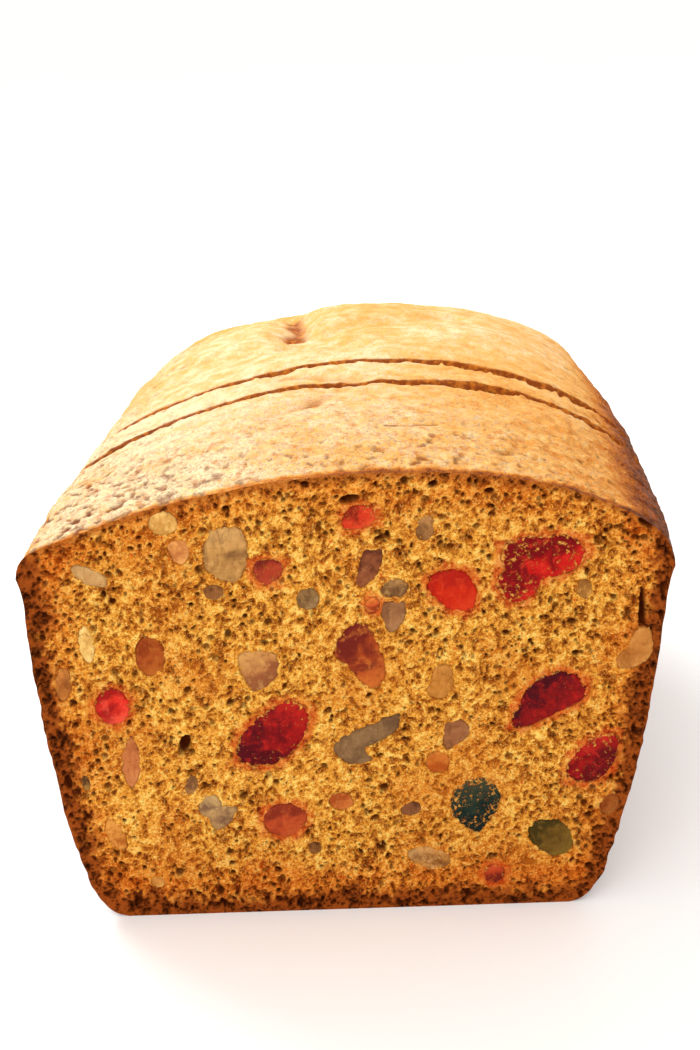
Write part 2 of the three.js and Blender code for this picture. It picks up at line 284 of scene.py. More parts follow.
def distance_to_path(x, back, path):
    nearest = np.full(x.shape, np.inf)
    for (x0, b0), (x1, b1) in zip(path[:-1], path[1:]):
        along = ((x - x0) * (x1 - x0) + (back - b0) * (b1 - b0)) / ((x1 - x0) ** 2 + (b1 - b0) ** 2)
        t = np.clip(along, 0, 1)
        nearest = np.minimum(nearest, np.hypot(x - x0 - t * (x1 - x0), back - b0 - t * (b1 - b0)))
    return nearest


def crust_marks(points):
    """Height of the marks on the top crust, and how far each point is opened to the crumb by them."""
    x = points[..., 0]
    back = points[..., 1] - FRONT_Y
    wobble = octaves(points, (1, 5, 11), (0.5, 2, 13))
    broken = smoothstep(noise(points, 6, 12), -0.8, 0.1)
    height = np.zeros(x.shape)
    opened = np.zeros(x.shape)
    for path, half_width, depth, open_share in CREASES:
        shift = 0.35 * half_width * wobble
        away = distance_to_path(x + shift, back + shift, path)
        share = np.exp(-((away / half_width) ** 2))
        if half_width < SCRATCH_HALF_WIDTH:
            share = share * broken
        height -= depth * share
        opened += open_share * share**2 * (0.75 + 0.25 * wobble)
    for bulge in BULGES:
        height += swelling(x, back, bulge)
    on_top = smoothstep(points[..., 2], SHOULDER_HEIGHT, SHOULDER_HEIGHT + 5)
    return height * on_top, np.clip(opened, 0, 1) * on_top


def lip_marks(points, from_near_lip, from_far_lip):
    """Height of the crust beside the cuts, which pressed it down, and how far it is torn."""
    x, z = points[..., 0], points[..., 2]
    at_cut = smoothstep(z, SHOULDER_HEIGHT - 4, SHOULDER_HEIGHT + 3)
    ragged = 0.85 + octaves(points, (0.5, 3.4, 27), (0.4, 1.2, 28))
    width = (2.6 + 2.6 * smoothstep(x, 2, 28)) * ragged
    pressed = smoothstep(from_far_lip, width, 0.2) * at_cut
    torn = 1.3 * smoothstep(from_far_lip, 0.6 * width, 0.1) * at_cut
    chipped = smoothstep(from_near_lip, 1.2 * ragged, 0.0) * at_cut
    height = -LIP_DROP * pressed * (0.8 + 0.4 * ragged) - 0.45 * ragged * chipped
    return height, np.maximum(torn, chipped)


def behind_front(points):
    """Distance behind the plane of the first cut."""
    return -(points - FACE_POINT) @ FACE_OUT


def crust_relief(points, from_front, from_near_lip, from_far_lip):
    """How far the crust stands out at each point, with the shares that colour it."""
    x, z = points[..., 0], points[..., 2]
    back = behind_front(points)
    on_top = smoothstep(z, SHOULDER_HEIGHT - 3, SHOULDER_HEIGHT + 4)
    # The grain of the top is coarsest near the first cut and towards the right.
    side_share = np.abs(x) / HALF_WIDTH
    grainy = np.clip(0.35 + 0.65 * smoothstep(back, 75, 5) + 0.5 * smoothstep(side_share, 0.6, 1), 0, 1)
    coarse = 0.17 + 0.14 * smoothstep(x, 5, 45)
    grain = octaves(points, (1, 1.1, 21), (0.8, 2.1, 22))
    lumps = noise(points, 4.6, 23)
    height = blend(0.1 * grain + 0.1 * lumps, coarse * grain * grainy + 0.2 * lumps, on_top)
    # Pores opened in the walls, along the edges of the top, and most of all at its near left corner; the
    # crust sinks into them and is painted darker there as shade.
    left_front = smoothstep(x, -12, -48) * smoothstep(back, 52, 10)
    holes = octaves(points, (1, 1.5, 25), (0.6, 0.85, 26)) + 0.42 * left_front
    near_edge = smoothstep(side_share, 0.55, 0.98) + 0.55 * smoothstep(back, 40, 3)
    pit = smoothstep(holes, 0.5, 0.95) * blend(0.75, np.clip(0.15 + near_edge, 0, 1), on_top)
    marks, opened = crust_marks(points)
    lips, torn = lip_marks(points, from_near_lip, from_far_lip)
    height = (height - PIT_DEPTH * pit + marks + lips) * smoothstep(from_front, 0.0, 0.9)
    return height, pit, np.clip(np.maximum(opened, torn), 0, 1), grainy * on_top


def baked_share(points):
    """How dark the crust baked: 0 is pale golden, 1 is the brown of the tin-baked sides."""
    x, z = points[..., 0], points[..., 2]
    back = behind_front(points)
    right = smoothstep(x, -5, 52)
    left = smoothstep(x, 0, -42)
    at_front = smoothstep(back, 85, 35)
    slow = octaves(points, (0.5, 26, 31), (0.35, 9, 32))
    top = 0.2 + blend(0.03, 0.12, at_front) * right - blend(0.0, 0.17, at_front) * left
    top += 0.25 * smoothstep(back, 150, 182) + 0.6 * smoothstep(x, 47, 61) + 0.15 * slow
    top += 0.46 * smoothstep(back, 2.4, 0.3)
    side = 0.83 + 0.17 * slow + 0.15 * smoothstep(z, 12, 0)
    on_side = 1 - smoothstep(z, SHOULDER_HEIGHT - 3, SHOULDER_HEIGHT + 7)
    return np.clip(blend(top, side, on_side), 0, 1)


# ---- meshes
def mesh_object(name, points, faces, shares=None, smooth=True):
    """An object from points in the loaf frame, in millimetres, with a named number at each point."""
    mesh = bpy.data.meshes.new(name)
    flat = (np.asarray(points).reshape(-1, 3) + TO_PART) * MM
    corners = np.concatenate([np.asarray(f, np.int64).reshape(-1) for f in faces])
    sizes = np.concatenate([np.full(len(f), np.asarray(f).shape[1]) for f in faces])
    mesh.vertices.add(len(flat))
    mesh.vertices.foreach_set("co", flat.astype(np.float32).ravel())
    mesh.loops.add(len(corners))
    mesh.loops.foreach_set("vertex_index", corners.astype(np.int32))
    mesh.polygons.add(len(sizes))
    mesh.polygons.foreach_set("loop_start", np.concatenate([[0], np.cumsum(sizes)[:-1]]).astype(np.int32))
    mesh.update(calc_edges=True)
    mesh.polygons.foreach_set("use_smooth", np.full(len(sizes), smooth))
    for key, values in (shares or {}).items():
        attribute = mesh.attributes.new(key, "FLOAT", "POINT")
        attribute.data.foreach_set("value", np.asarray(values, np.float32).ravel())
    mesh.validate()
    obj = bpy.data.objects.new(name, mesh)
    bpy.context.scene.collection.objects.link(obj)
    return obj


def weld(obj):
    """Joins the points that lie in the same place."""
    bm = bmesh.new()
    bm.from_mesh(obj.data)
    bmesh.ops.remove_doubles(bm, verts=bm.verts, dist=1e-6)
    bm.to_mesh(obj.data)
    bm.free()


def declare(obj, node):
    """Hides the node's own part and hangs the piece under the root body. Nothing on the cake moves."""
    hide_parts(node)
    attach(obj, "root")


def quads_of(ids):
    """Quads between neighbouring rows of point numbers."""
    return np.stack([ids[:-1, :-1], ids[1:, :-1], ids[1:, 1:], ids[:-1, 1:]], axis=-1).reshape(-1, 4)


def loop_faces(columns, count):
    """Quads between neighbouring closed loops."""
    ids = np.arange(columns * count).reshape(columns, count)
    return quads_of(np.concatenate([ids, ids[:, :1]], axis=1))


def cap(loop, outward):
    """Rings that shrink from a loop to its middle, with the roughness of cut crumb, and the middle."""
    middle = loop.mean(axis=0)
    scale = np.linspace(1, 0, CAP_RINGS + 1)[1:-1, None, None]
    rings = middle + (loop - middle) * scale
    depth = octaves(rings, (0.35, 3.1, 41), (0.25, 1.4, 42)) - 0.15
    rings = rings + outward * depth[..., None]
    return np.concatenate([rings.reshape(-1, 3), middle[None]])


def cap_faces(loop_ids, first, facing_front):
    count = len(loop_ids)
    ids = np.concatenate([loop_ids[None], first + np.arange((CAP_RINGS - 1) * count).reshape(-1, count)])
    turned = np.roll(ids, -1, axis=1)
    quads = np.stack([ids[:-1], turned[:-1], turned[1:], ids[1:]], axis=-1).reshape(-1, 4)
    pole = np.full(count, first + (CAP_RINGS - 1) * count)
    fan = np.stack([ids[-1], turned[-1], pole], axis=-1)
    if not facing_front:
        quads, fan = quads[:, ::-1], fan[:, ::-1]
    return quads, fan


def cut_line(name, set_back):
    y, turn = CUTS[name]
    return y + set_back / math.cos(math.radians(turn)), math.radians(turn)


CAP_SHARES = {"baked": 0.3, "pit": 0.0, "opened": 1.0, "grainy": 1.0}
OUT_OF_REACH = 100.0  # a distance at which a cut leaves no mark


def finish_crust(name, node, grid, from_near, from_far, near_capped, far_capped):
    """A crust with its relief, closed by a hidden cut face where another slice stands against it."""
    count = grid.shape[1]
    nowhere = np.full(from_near.shape, OUT_OF_REACH)
    height, pit, opened, grainy = crust_relief(
        grid,
        nowhere if near_capped else from_near,
        from_near if near_capped else nowhere,
        from_far if far_capped else nowhere,
    )
    points = grid + normals_of(grid) * height[..., None]
    values = {"baked": baked_share(grid), "pit": pit, "opened": opened, "grainy": grainy}
    shares = {key: [value.ravel()] for key, value in values.items()}
    parts = [points.reshape(-1, 3)]
    faces = [loop_faces(len(grid), count)]
    capped = [(0, True)] * near_capped + [(len(grid) - 1, False)] * far_capped
    for column, facing_front in capped:
        first = sum(len(p) for p in parts)
        extra = cap(points[column], np.array([0.0, -1.0 if facing_front else 1.0, 0.0]))
        parts.append(extra)
        for key, value in CAP_SHARES.items():
            shares[key].append(np.full(len(extra), value))
        faces += list(cap_faces(column * count + np.arange(count), first, facing_front))
    shares = {key: np.concatenate(values) for key, values in shares.items()}
    obj = mesh_object(name, np.concatenate(parts), faces, shares)
    declare(obj, node)
    return obj


def slice_piece(name, node, near, far, columns, near_capped):
    """The crust of a slice between two cuts, and the loop of its near edge."""
    share = np.linspace(0, 1, columns)
    turn = blend(near[1], far[1], share)
    grid = sections(blend(near[0], far[0], share), turn, turn + math.pi)
    grid += normals_of(grid) * waviness(grid)[..., None]
    rim = grid[0].copy()
    grid = grid[:, ::SLICE_STRIDE]
    thickness = far[0] - near[0]
    from_near = (share * thickness)[:, None] + np.zeros(grid.shape[:2])
    return finish_crust(name, node, grid, from_near, thickness - from_near, near_capped, True), rim


def loaf_end_piece():
    """The rest of the loaf, whose columns turn round the end of the spine."""
    y, turn = cut_line("far", CUT_GAP / 2)
    straight = np.linspace(0, 1, END_COLUMNS[0])
    sweep = np.linspace(0, 1, END_COLUMNS[1] + 1)[1:]
    spine_y = np.concatenate([blend(y, SPINE_END, straight), np.full(len(sweep), SPINE_END)])
    right = np.concatenate([turn * (1 - straight), sweep * math.pi / 2])
    left = np.concatenate([math.pi + turn * (1 - straight), math.pi - sweep * math.pi / 2])
    grid = sections(spine_y, right, left)[:, ::END_STRIDE]
    normal = normals_of(grid)
    normal[-1] = normal[-2]
    grid = grid + normal * waviness(grid)[..., None]
    from_near = np.concatenate([straight * (SPINE_END - y), np.full(len(sweep), OUT_OF_REACH)])
    from_near = from_near[:, None] + np.zeros(grid.shape[:2])
    obj = finish_crust("loaf_end_crust", "loaf_end", grid, from_near, None, True, False)
    weld(obj)
    return obj


# ---- the cut face
FACE_STEP = 0.1  # spacing of the relief map
FACE_ORIGIN = np.array([-66.0, -1.0])
FACE_SIZE = np.array([132.0, 101.0])
RIM_MARGIN = 0.5  # how far the pores stay inside the rim
POCKET_DEPTH = 0.9
JUICY = ("cherry", "apricot")  # candied fruit that stains the crumb round it

# Holes that the crumb opened: place, width, height, tilt in degrees and depth.
HOLES = [
    (47.6, 87.0, 2.2, 1.8, 0, 2.0),
    (55.8, 82.2, 3.4, 2.6, -20, 2.4),
    (0.2, 87.4, 3.9, 1.7, 8, 2.0),
    (-31.6, 37.9, 2.1, 4.2, -14, 2.6),
    (-27.4, 74.2, 2.2, 1.8, 10, 1.6),
    (56.0, 62.5, 1.3, 12, 3, 2.2),
    (-54.3, 30.5, 1.4, 3.0, 12, 1.5),
    (26, 88.5, 1.8, 1.2, 0, 1.6),
    (-8, 90.5, 1.5, 1.1, 0, 1.4),
    (15.5, 90, 1.9, 1.2, 15, 1.5),
    (-22.5, 86, 1.4, 1.1, 0, 1.3),
    (8, 42, 1.6, 1.0, 20, 1.2),
    (-44, 68, 1.5, 1.1, 30, 1.2),
    (30, 60, 1.5, 1.0, 0, 1.1),
]
HOLE_SPREAD = 1.1
# Three sizes of pore: how many are tried, their smallest and largest radius, and their depth.
PORES = [(8000, 0.15, 0.34, 0.4), (4200, 0.3, 0.6, 0.8), (1200, 0.45, 0.95, 1.0)]
PORE_SEED = 77

Outline = namedtuple("Outline", "middle angles radii depth")


def piece_outline(node):
    """A piece's outline on the cut face: its middle, its radius at each angle, and its depth."""
    co = np.array([v.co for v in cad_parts[node].data.vertices]) / MM - TO_PART
    depth = -(co - FACE_POINT) @ FACE_OUT
    flat = np.stack([(co - FACE_POINT) @ FACE_ALONG, co[:, 2]], axis=-1)
    ring = np.unique(np.round(flat[depth < 0.05], 3), axis=0)
    end = np.unique(np.round(flat[depth > depth.max() - 0.02], 3), axis=0)
    centre = ring.mean(axis=0)
    ring = ring[np.linalg.norm(ring - centre, axis=1) > 0.3]
    # The piece shrinks to a quarter at its inner end, about the point that its radii start from.
    middle = (end.mean(axis=0) - 0.25 * ring.mean(axis=0)) / 0.75
    away = ring - middle
    angle = np.arctan2(away[:, 1], away[:, 0])
    order = np.argsort(angle)
    return Outline(middle, angle[order], np.hypot(*away.T)[order], depth.max())


def radius_at(outline, angle):
    return np.interp(angle, outline.angles, outline.radii, period=2 * math.pi)


def face_grid(rim):
    """A sheet across the loop of the cut, shaped by all four of its sides."""
    base = rim[: ACROSS + 1]
    right = rim[ACROSS : ACROSS + UP + 1]
    top = rim[ACROSS + UP : 2 * ACROSS + UP + 1][::-1]
    left = np.concatenate([rim[2 * ACROSS + UP :], rim[:1]])[::-1]
    u = np.linspace(0, 1, ACROSS + 1)[None, :, None]
    v = np.linspace(0, 1, UP + 1)[:, None, None]
    ruled = (1 - v) * base[None] + v * top[None] + (1 - u) * left[:, None] + u * right[:, None]
    corners = (1 - v) * ((1 - u) * base[0] + u * base[-1]) + v * ((1 - u) * top[0] + u * top[-1])
    return ruled - corners, (top, left, right)


def rim_distances(across, up, top, left, right):
    """Distances to the sides, the top and the base of the cut face."""

    def place(line):
        return (line - FACE_POINT) @ FACE_ALONG, line[:, 2]

    left_x, left_z = place(left)
    right_x, right_z = place(right)
    to_left = across - np.interp(up, left_z, left_x)
    to_right = np.interp(up, right_z, right_x) - across
    to_top = np.interp(across, *place(top)) - up
    return np.minimum(to_left, to_right), to_top, up


def crust_shares(to_side, to_top, to_base, points):
    """How far the crumb browned: a dark band along the crust, and a wider, fainter one."""
    wander = 1 + octaves(points, (0.3, 5.5, 51), (0.3, 1.8, 52), (0.15, 0.8, 53))
    side = smoothstep(to_side, 6.2 * wander, 2.2 * wander)
    base = smoothstep(to_base, 6.6 * wander, 2.0 * wander)
    top = smoothstep(to_top, 2.4 * wander, 0.5 * wander)
    brown = 0.75 * smoothstep(to_side, 13, 3) + 0.95 * smoothstep(to_base, 15, 4)
    brown = brown + 0.65 * smoothstep(to_top, 10, 2)
    dark = np.maximum.reduce([side, base, 0.7 * top])
    return np.clip(dark, 0, 1), np.clip(brown * wander, 0, 1)


def cell_at(place):
    """The row and column of the relief map that a place of the face falls in."""
    column, row = ((np.asarray(place) - FACE_ORIGIN) / FACE_STEP).astype(int)
    return row, column


def cells_round(place, distance):
    """The window of the relief map that lies within a distance of a place."""
    row, column = cell_at(place)
    span = int(distance / FACE_STEP)
    return slice(max(row - span, 0), row + span), slice(max(column - span, 0), column + span)


def stamp(height, dark, flat, place, size, tilt, depth, tone=1.0):
    """Presses one rounded hole into the relief map, and paints shade into it."""
    window = cells_round(place, 0.75 * max(size) + 0.2)
    x, z = np.moveaxis(flat[window] - place, -1, 0)
    a = math.radians(tilt)
    p = (x * math.cos(a) + z * math.sin(a)) / (size[0] / 2)
    q = (z * math.cos(a) - x * math.sin(a)) / (size[1] / 2)
    share = np.sqrt(np.clip(1 - p * p - q * q, 0, 1))
    height[window] = np.minimum(height[window], 0.05 - depth * share)
    dark[window] = np.maximum(dark[window], tone * smoothstep(share, 0.1, 0.75))


def pressed_holes(flat, edge):
    """Maps of the pores and holes, which crowd towards the crust: their height, and the painted shade in
    them.
    """
    rng = np.random.default_rng(PORE_SEED)
    crowd = octaves(flat, (1, 6.5, 65), (0.7, 3, 66))
    chance = 0.35 + 0.35 * crowd + 0.45 * smoothstep(edge, 16, 2)
    height = np.zeros(edge.shape)
    dark = np.zeros(edge.shape)
    for count, small, large, depth in PORES:
        places = rng.random((count, 2)) * FACE_SIZE + FACE_ORIGIN
        radii = small + (large - small) * rng.random(count) ** 2
        keeps = rng.random(count)
        shapes = rng.uniform(0.55, 1, count)
        tilts = rng.uniform(0, 180, count)
        tones = rng.uniform(0.5, 1, count)
        for place, radius, keep, shape, tilt, tone in zip(places, radii, keeps, shapes, tilts, tones):
            cell = cell_at(place)
            if edge[cell] > RIM_MARGIN and keep < chance[cell]:
                size = (2 * radius, 2 * radius * shape)
                stamp(height, dark, flat, place, size, tilt, depth * (0.6 + radius) * tone, tone)
    for x, z, width, tall, tilt, depth in HOLES:
        stamp(height, dark, flat, (x, z), (width * HOLE_SPREAD, tall * HOLE_SPREAD), tilt, depth)
    return height, dark


def press_pocket(maps, flat, outline, ragged, juicy):
    """Makes room for a piece of fruit in a pocket whose torn edge laps over it a little."""
    height, pore_shade, pocket, juice = maps
    window = cells_round(outline.middle, outline.radii.max() + 1.4)
    dx, dz = np.moveaxis(flat[window] - outline.middle, -1, 0)
    ragged = ragged[window]
    inside = radius_at(outline, np.arctan2(dz, dx)) - np.hypot(dx, dz)
    lap = 0.05 + np.clip(0.2 + 0.95 * ragged, 0, 1.6) * min(1, outline.radii.mean() / 4.5)
    share = smoothstep(inside - lap, 0.0, 0.35)
    rim = np.exp(-((inside / 0.7) ** 2))
    pocket[window] = np.maximum(pocket[window], share)
    height[window] = blend(height[window], 0.16 + 0.1 * ragged, 0.65 * rim * (1 - share))
    pore_shade[window] *= 1 - 0.7 * rim
    if juicy:
        juice[window] = np.maximum(juice[window], smoothstep(inside + 0.8 * ragged, -1.9, 0.2))


def face_relief(outlines, sides):
    """Maps of the cut face: its height, painted shade in its pores, painted light and shade on its lumps,
    its pockets, and the juice round the pockets.
    """
    columns, rows = (FACE_SIZE / FACE_STEP).astype(int)
    cells = np.meshgrid(np.arange(columns), np.arange(rows))
    flat = FACE_ORIGIN + np.stack(cells, axis=-1) * FACE_STEP
    edge = np.minimum.reduce(rim_distances(flat[..., 0], flat[..., 1], *sides))
    warped = flat + 0.5 * np.stack([noise(flat, 1.7, 59), noise(flat, 1.7, 60)], axis=-1)
    sponge = octaves(warped, (0.35, 1.9, 61), (0.65, 0.9, 62), (0.6, 0.5, 63))
    cavity = smoothstep(sponge + 0.14 * noise(flat, 7, 58), 0.2, 0.85)
    height = 0.2 * noise(flat, 9, 64) - 0.2 * sponge - 0.6 * cavity
    pressed, pore_shade = pressed_holes(flat, edge)
    height += pressed
    ragged = octaves(flat, (0.9, 1.3, 67), (0.5, 0.6, 68))
    pocket = np.zeros(edge.shape)
    juice = np.zeros(edge.shape)
    for node, outline in outlines.items():
        juicy = kind_of(node) == "candied" and node.startswith(JUICY)
        press_pocket((height, pore_shade, pocket, juice), flat, outline, ragged, juicy)
    height = blend(height, -POCKET_DEPTH, pocket) * smoothstep(edge, 0.0, 0.9)
    return height, pore_shade * (1 - pocket), np.clip(0.66 - 0.43 * sponge, 0, 1), pocket, juice


def sampled(relief, across, up):
    """A relief map's values at places of the face."""
    i = np.clip((up - FACE_ORIGIN[1]) / FACE_STEP, 0, relief.shape[0] - 1.001)
    j = np.clip((across - FACE_ORIGIN[0]) / FACE_STEP, 0, relief.shape[1] - 1.001)
    i0, j0 = i.astype(int), j.astype(int)
    low = blend(relief[i0, j0], relief[i0, j0 + 1], j - j0)
    high = blend(relief[i0 + 1, j0], relief[i0 + 1, j0 + 1], j - j0)
    return blend(low, high, i - i0)


def cut_face_piece(rim, outlines):
    """The cut face, whose edge lies on the crust's own front loop."""
    grid, sides = face_grid(rim)
    across = (grid - FACE_POINT) @ FACE_ALONG
    up = grid[..., 2]
    maps = face_relief(outlines, sides)
    height, pore_shade, lump_light_and_shade, pocket, juice = (sampled(relief, across, up) for relief in maps)
    crust, brown = crust_shares(*rim_distances(across, up, *sides), np.stack([across, up], axis=-1))
    inner = np.zeros(height.shape)
    inner[1:-1, 1:-1] = 1
    grid = grid + FACE_OUT * (height * inner)[..., None]
    quads = np.roll(quads_of(np.arange(height.size).reshape(height.shape))[:, ::-1], 1, axis=1)
    shares = {"pore_shade": pore_shade, "lump_light_and_shade": lump_light_and_shade, "crust": crust, "brown": brown, "pocket": pocket, "juice": juice}
    obj = mesh_object("front_cut_face", grid, [quads], shares)
    declare(obj, "front_slice")
    return obj


# ---- materials
def colour(*levels):
    """A linear colour from the usual 0 to 255 values."""
    shares = (level / 255 for level in levels)
    return (*(c / 12.92 if c <= 0.04045 else ((c + 0.055) / 1.055) ** 2.4 for c in shares), 1.0)


class Look:
    """A node material with a Principled shader, and short calls for the nodes that feed it."""

    def __init__(self, name, radius=(1.0, 0.5, 0.2), **sockets):
        self.material = bpy.data.materials.new(name)
        self.material.use_nodes = True
        self.tree = self.material.node_tree
        self.shader = self.tree.nodes["Principled BSDF"]
        self.shader.inputs["Subsurface Radius"].default_value = radius
        self.coordinates = self.node("ShaderNodeTexCoord").outputs["Object"]
        for key, value in sockets.items():
            self.shader.inputs[key.replace("_", " ").title().replace("Ior", "IOR")].default_value = value

    def node(self, kind, inputs=None, **settings):
        """A new node with its settings, and with what its sockets are fed."""
        made = self.tree.nodes.new(kind)
        for key, value in settings.items():
            setattr(made, key, value)
        for key, value in (inputs or {}).items():
            self.feed(made.inputs[key], value)
        return made

    def feed(self, socket, value):
        """Feeds a socket from another, or with a number, or with a colour in 0 to 255 values."""
        if isinstance(value, bpy.types.NodeSocket):
            self.tree.links.new(value, socket)
        else:
            socket.default_value = colour(*value) if isinstance(value, tuple) else value

    def share(self, name, factor=None):
        """A number stored at the mesh's points, and scaled where a factor is given."""
        stored = self.node("ShaderNodeAttribute", attribute_name=name).outputs["Fac"]
        return stored if factor is None else self.times(stored, factor)

    def noise(self, millimetres, detail=3.0, roughness=0.55, stretch=None, warp=0.0):
        vector = self.coordinates
        if stretch:
            mapping = self.node("ShaderNodeMapping", {"Vector": vector})
            mapping.inputs["Rotation"].default_value, mapping.inputs["Scale"].default_value = stretch
            vector = mapping.outputs["Vector"]
        size = {"Vector": vector, "Scale": 1 / (millimetres * MM)}
        grain = {"Detail": detail, "Roughness": roughness, "Distortion": warp}
        return self.node("ShaderNodeTexNoise", size | grain).outputs["Fac"]

    def ramp(self, value, low, high, to_low=0.0, to_high=1.0):
        inputs = {"Value": value, "From Min": low, "From Max": high, "To Min": to_low, "To Max": to_high}
        made = self.node("ShaderNodeMapRange", inputs, clamp=True, interpolation_type="SMOOTHSTEP")
        return made.outputs["Result"]

    def maths(self, operation, a, b):
        return self.node("ShaderNodeMath", {0: a, 1: b}, operation=operation).outputs[0]

    def add(self, a, b):
        return self.maths("ADD", a, b)

    def times(self, a, b):
        return self.maths("MULTIPLY", a, b)

    def mix(self, share, a, b, kind="MIX"):
        inputs = {"Factor": share, 6: a, 7: b}
        return self.node("ShaderNodeMix", inputs, data_type="RGBA", blend_type=kind).outputs[2]

    def tint(self, base, value, low, high, most, shade):
        """Lays a shade over a base, from none of it where a value is low to most where it is high."""
        return self.mix(self.ramp(value, low, high, 0, most), base, shade)

    def layers(self, level, first, steps):
        """Colours that follow one another as a level rises, each with its start and its end."""
        base = first
        for low, high, following in steps:
            base = self.tint(base, level, low, high, 1, following)
        return base

    def bump(self, height, millimetres, strength, below=None):
        inputs = {"Height": height, "Distance": millimetres * MM, "Strength": strength}
        if below is not None:
            inputs["Normal"] = below
        return self.node("ShaderNodeBump", inputs).outputs["Normal"]

    def done(self, base, roughness, normal):
        self.feed(self.shader.inputs["Base Color"], base)
        self.feed(self.shader.inputs["Roughness"], roughness)
        self.feed(self.shader.inputs["Normal"], normal)
        return self.material


# Painted shade in the small cavities of the crumb, through orange, up to painted light on its pale yellow
# lumps.
CRUMB_SHADED_TO_LIT = [
    (0.0, 0.3, (164, 84, 20)),
    (0.25, 0.55, (208, 128, 38)),
    (0.5, 0.8, (240, 166, 60)),
    (0.8, 1.05, (254, 207, 104)),
]
# From the pale golden crust to the brown of the tin-baked sides.
CRUST_LAYERS = [
    (0.0, 0.3, (243, 179, 94)),
    (0.25, 0.55, (214, 126, 40)),
    (0.5, 0.78, (138, 68, 25)),
    (0.75, 1.0, (88, 44, 19)),
]


def crumb_look():
    look = Look("crumb", specular_ior_level=0.04, subsurface_weight=0.05, subsurface_scale=0.0015)
    fine = look.noise(0.55, detail=5, roughness=0.7)
    medium = look.noise(2.6, detail=4)
    slow = look.noise(16, detail=2)
    # The level follows the crumb's relief, so colouring by it paints shade into the cavities and light
    # onto the lumps.
    level = look.add(look.share("lump_light_and_shade"), look.ramp(fine, 0.25, 0.75, -0.3, 0.3))
    level = look.add(level, look.ramp(medium, 0.3, 0.7, -0.1, 0.1))
    base = look.layers(level, (84, 34, 6), CRUMB_SHADED_TO_LIT)
    base = look.tint(base, slow, 0.45, 0.7, 0.5, (212, 112, 28))
    grit = look.noise(0.36, detail=3, roughness=0.6)
    base = look.tint(base, grit, 0.56, 0.67, 0.7, (255, 220, 122))
    base = look.tint(base, grit, 0.45, 0.34, 0.75, (126, 56, 10))
    # Specks of orange fruit, and juice round the cherries.
    specks = look.ramp(look.noise(1.3, detail=2), 0.68, 0.74, 0, 0.8)
    base = look.mix(specks, base, (214, 84, 22))
    base = look.mix(look.share("juice", 0.55), base, (206, 52, 24))
    # The crumb browns towards the crust.
    base = look.mix(look.share("brown", 0.65), base, (236, 160, 92), kind="MULTIPLY")
    # In the browned band too, the cavities are painted darker as shade.
    browned = look.mix(look.ramp(level, 0.15, 0.9), (46, 19, 7), (182, 94, 32))
    base = look.mix(look.share("crust", 0.95), base, browned)
    outermost = look.ramp(look.share("crust"), 0.5, 1.0, 0, 0.8)
    base = look.mix(outermost, base, (205, 180, 160), kind="MULTIPLY")
    # Pores and holes are painted dark as shade.
    base = look.mix(look.share("pore_shade"), base, (84, 30, 4))
    # The crumb lining each pocket is painted darker as shade.
    base = look.mix(look.share("pocket", 0.4), base, (150, 84, 30))
    normal = look.bump(level, 0.45, 0.9)
    normal = look.bump(look.noise(0.22, detail=2), 0.12, 0.6, normal)
    return look.done(base, look.ramp(fine, 0.3, 0.7, 0.75, 0.95), normal)


def crust_look():
    look = Look(
        "crust", radius=(1.0, 0.5, 0.25),
        specular_ior_level=0.06, subsurface_weight=0.05, subsurface_scale=0.0015,
    )
    fine = look.noise(0.7, detail=5, roughness=0.65)
    medium = look.noise(4, detail=4)
    coarse = look.noise(1.9, detail=4, roughness=0.6)
    baked = look.add(look.share("baked"), look.ramp(medium, 0.2, 0.8, -0.11, 0.11))
    baked = look.add(baked, look.ramp(fine, 0.25, 0.75, -0.06, 0.06))
    grains = look.times(look.ramp(fine, 0.3, 0.7, -0.13, 0.13), look.share("grainy"))
    baked = look.add(baked, grains)
    base = look.layers(baked, (253, 228, 184), CRUST_LAYERS)

    def grain(of_fine, of_coarse):
        either = look.maths("MAXIMUM", look.ramp(fine, *of_fine), look.ramp(coarse, *of_coarse))
        return look.times(either, look.share("grainy"))

    specks = grain((0.5, 0.36, 0, 0.6), (0.47, 0.37, 0, 0.6))
    base = look.mix(specks, base, (180, 92, 30))
    pale = grain((0.55, 0.72, 0, 0.5), (0.54, 0.64, 0, 0.35))
    pale = look.times(pale, look.ramp(baked, 0.6, 0.3))
    base = look.mix(pale, base, (255, 222, 150))
    # The pits are painted darker as shade.
    base = look.mix(look.share("pit", 0.9), base, (120, 48, 16))
    # Where the crust is torn or cut, the crumb shows.
    mottled = look.ramp(look.noise(1.2, detail=4), 0.42, 0.68)
    crumb = look.mix(mottled, (146, 66, 16), (206, 118, 34))
    base = look.tint(base, look.share("opened"), 0.1, 0.7, 0.95, crumb)
    height = look.maths("SUBTRACT", fine, look.times(specks, 0.5))
    height = look.add(height, look.times(pale, 0.5))
    normal = look.bump(height, 0.5, 0.9)
    normal = look.bump(look.noise(0.25, detail=2), 0.07, 0.5, normal)
    return look.done(base, look.ramp(look.share("baked"), 0.1, 1.0, 0.72, 0.5), normal)


# What each kind of fruit is like: its coat of syrup, how far light enters it, its roughness, how far its
# cut swells, and how uneven the cut is.
KINDS = {
    "candied": {"coat": 0.032, "glow": 0.15, "roughness": 0.3, "dome": 0.5, "uneven": 0.14},
    "moist": {"coat": 0.016, "glow": 0.12, "roughness": 0.42, "dome": 0.3, "uneven": 0.14},
    "nut": {"coat": 0.0, "glow": 0.1, "roughness": 0.55, "dome": 0.15, "uneven": 0.2},
}


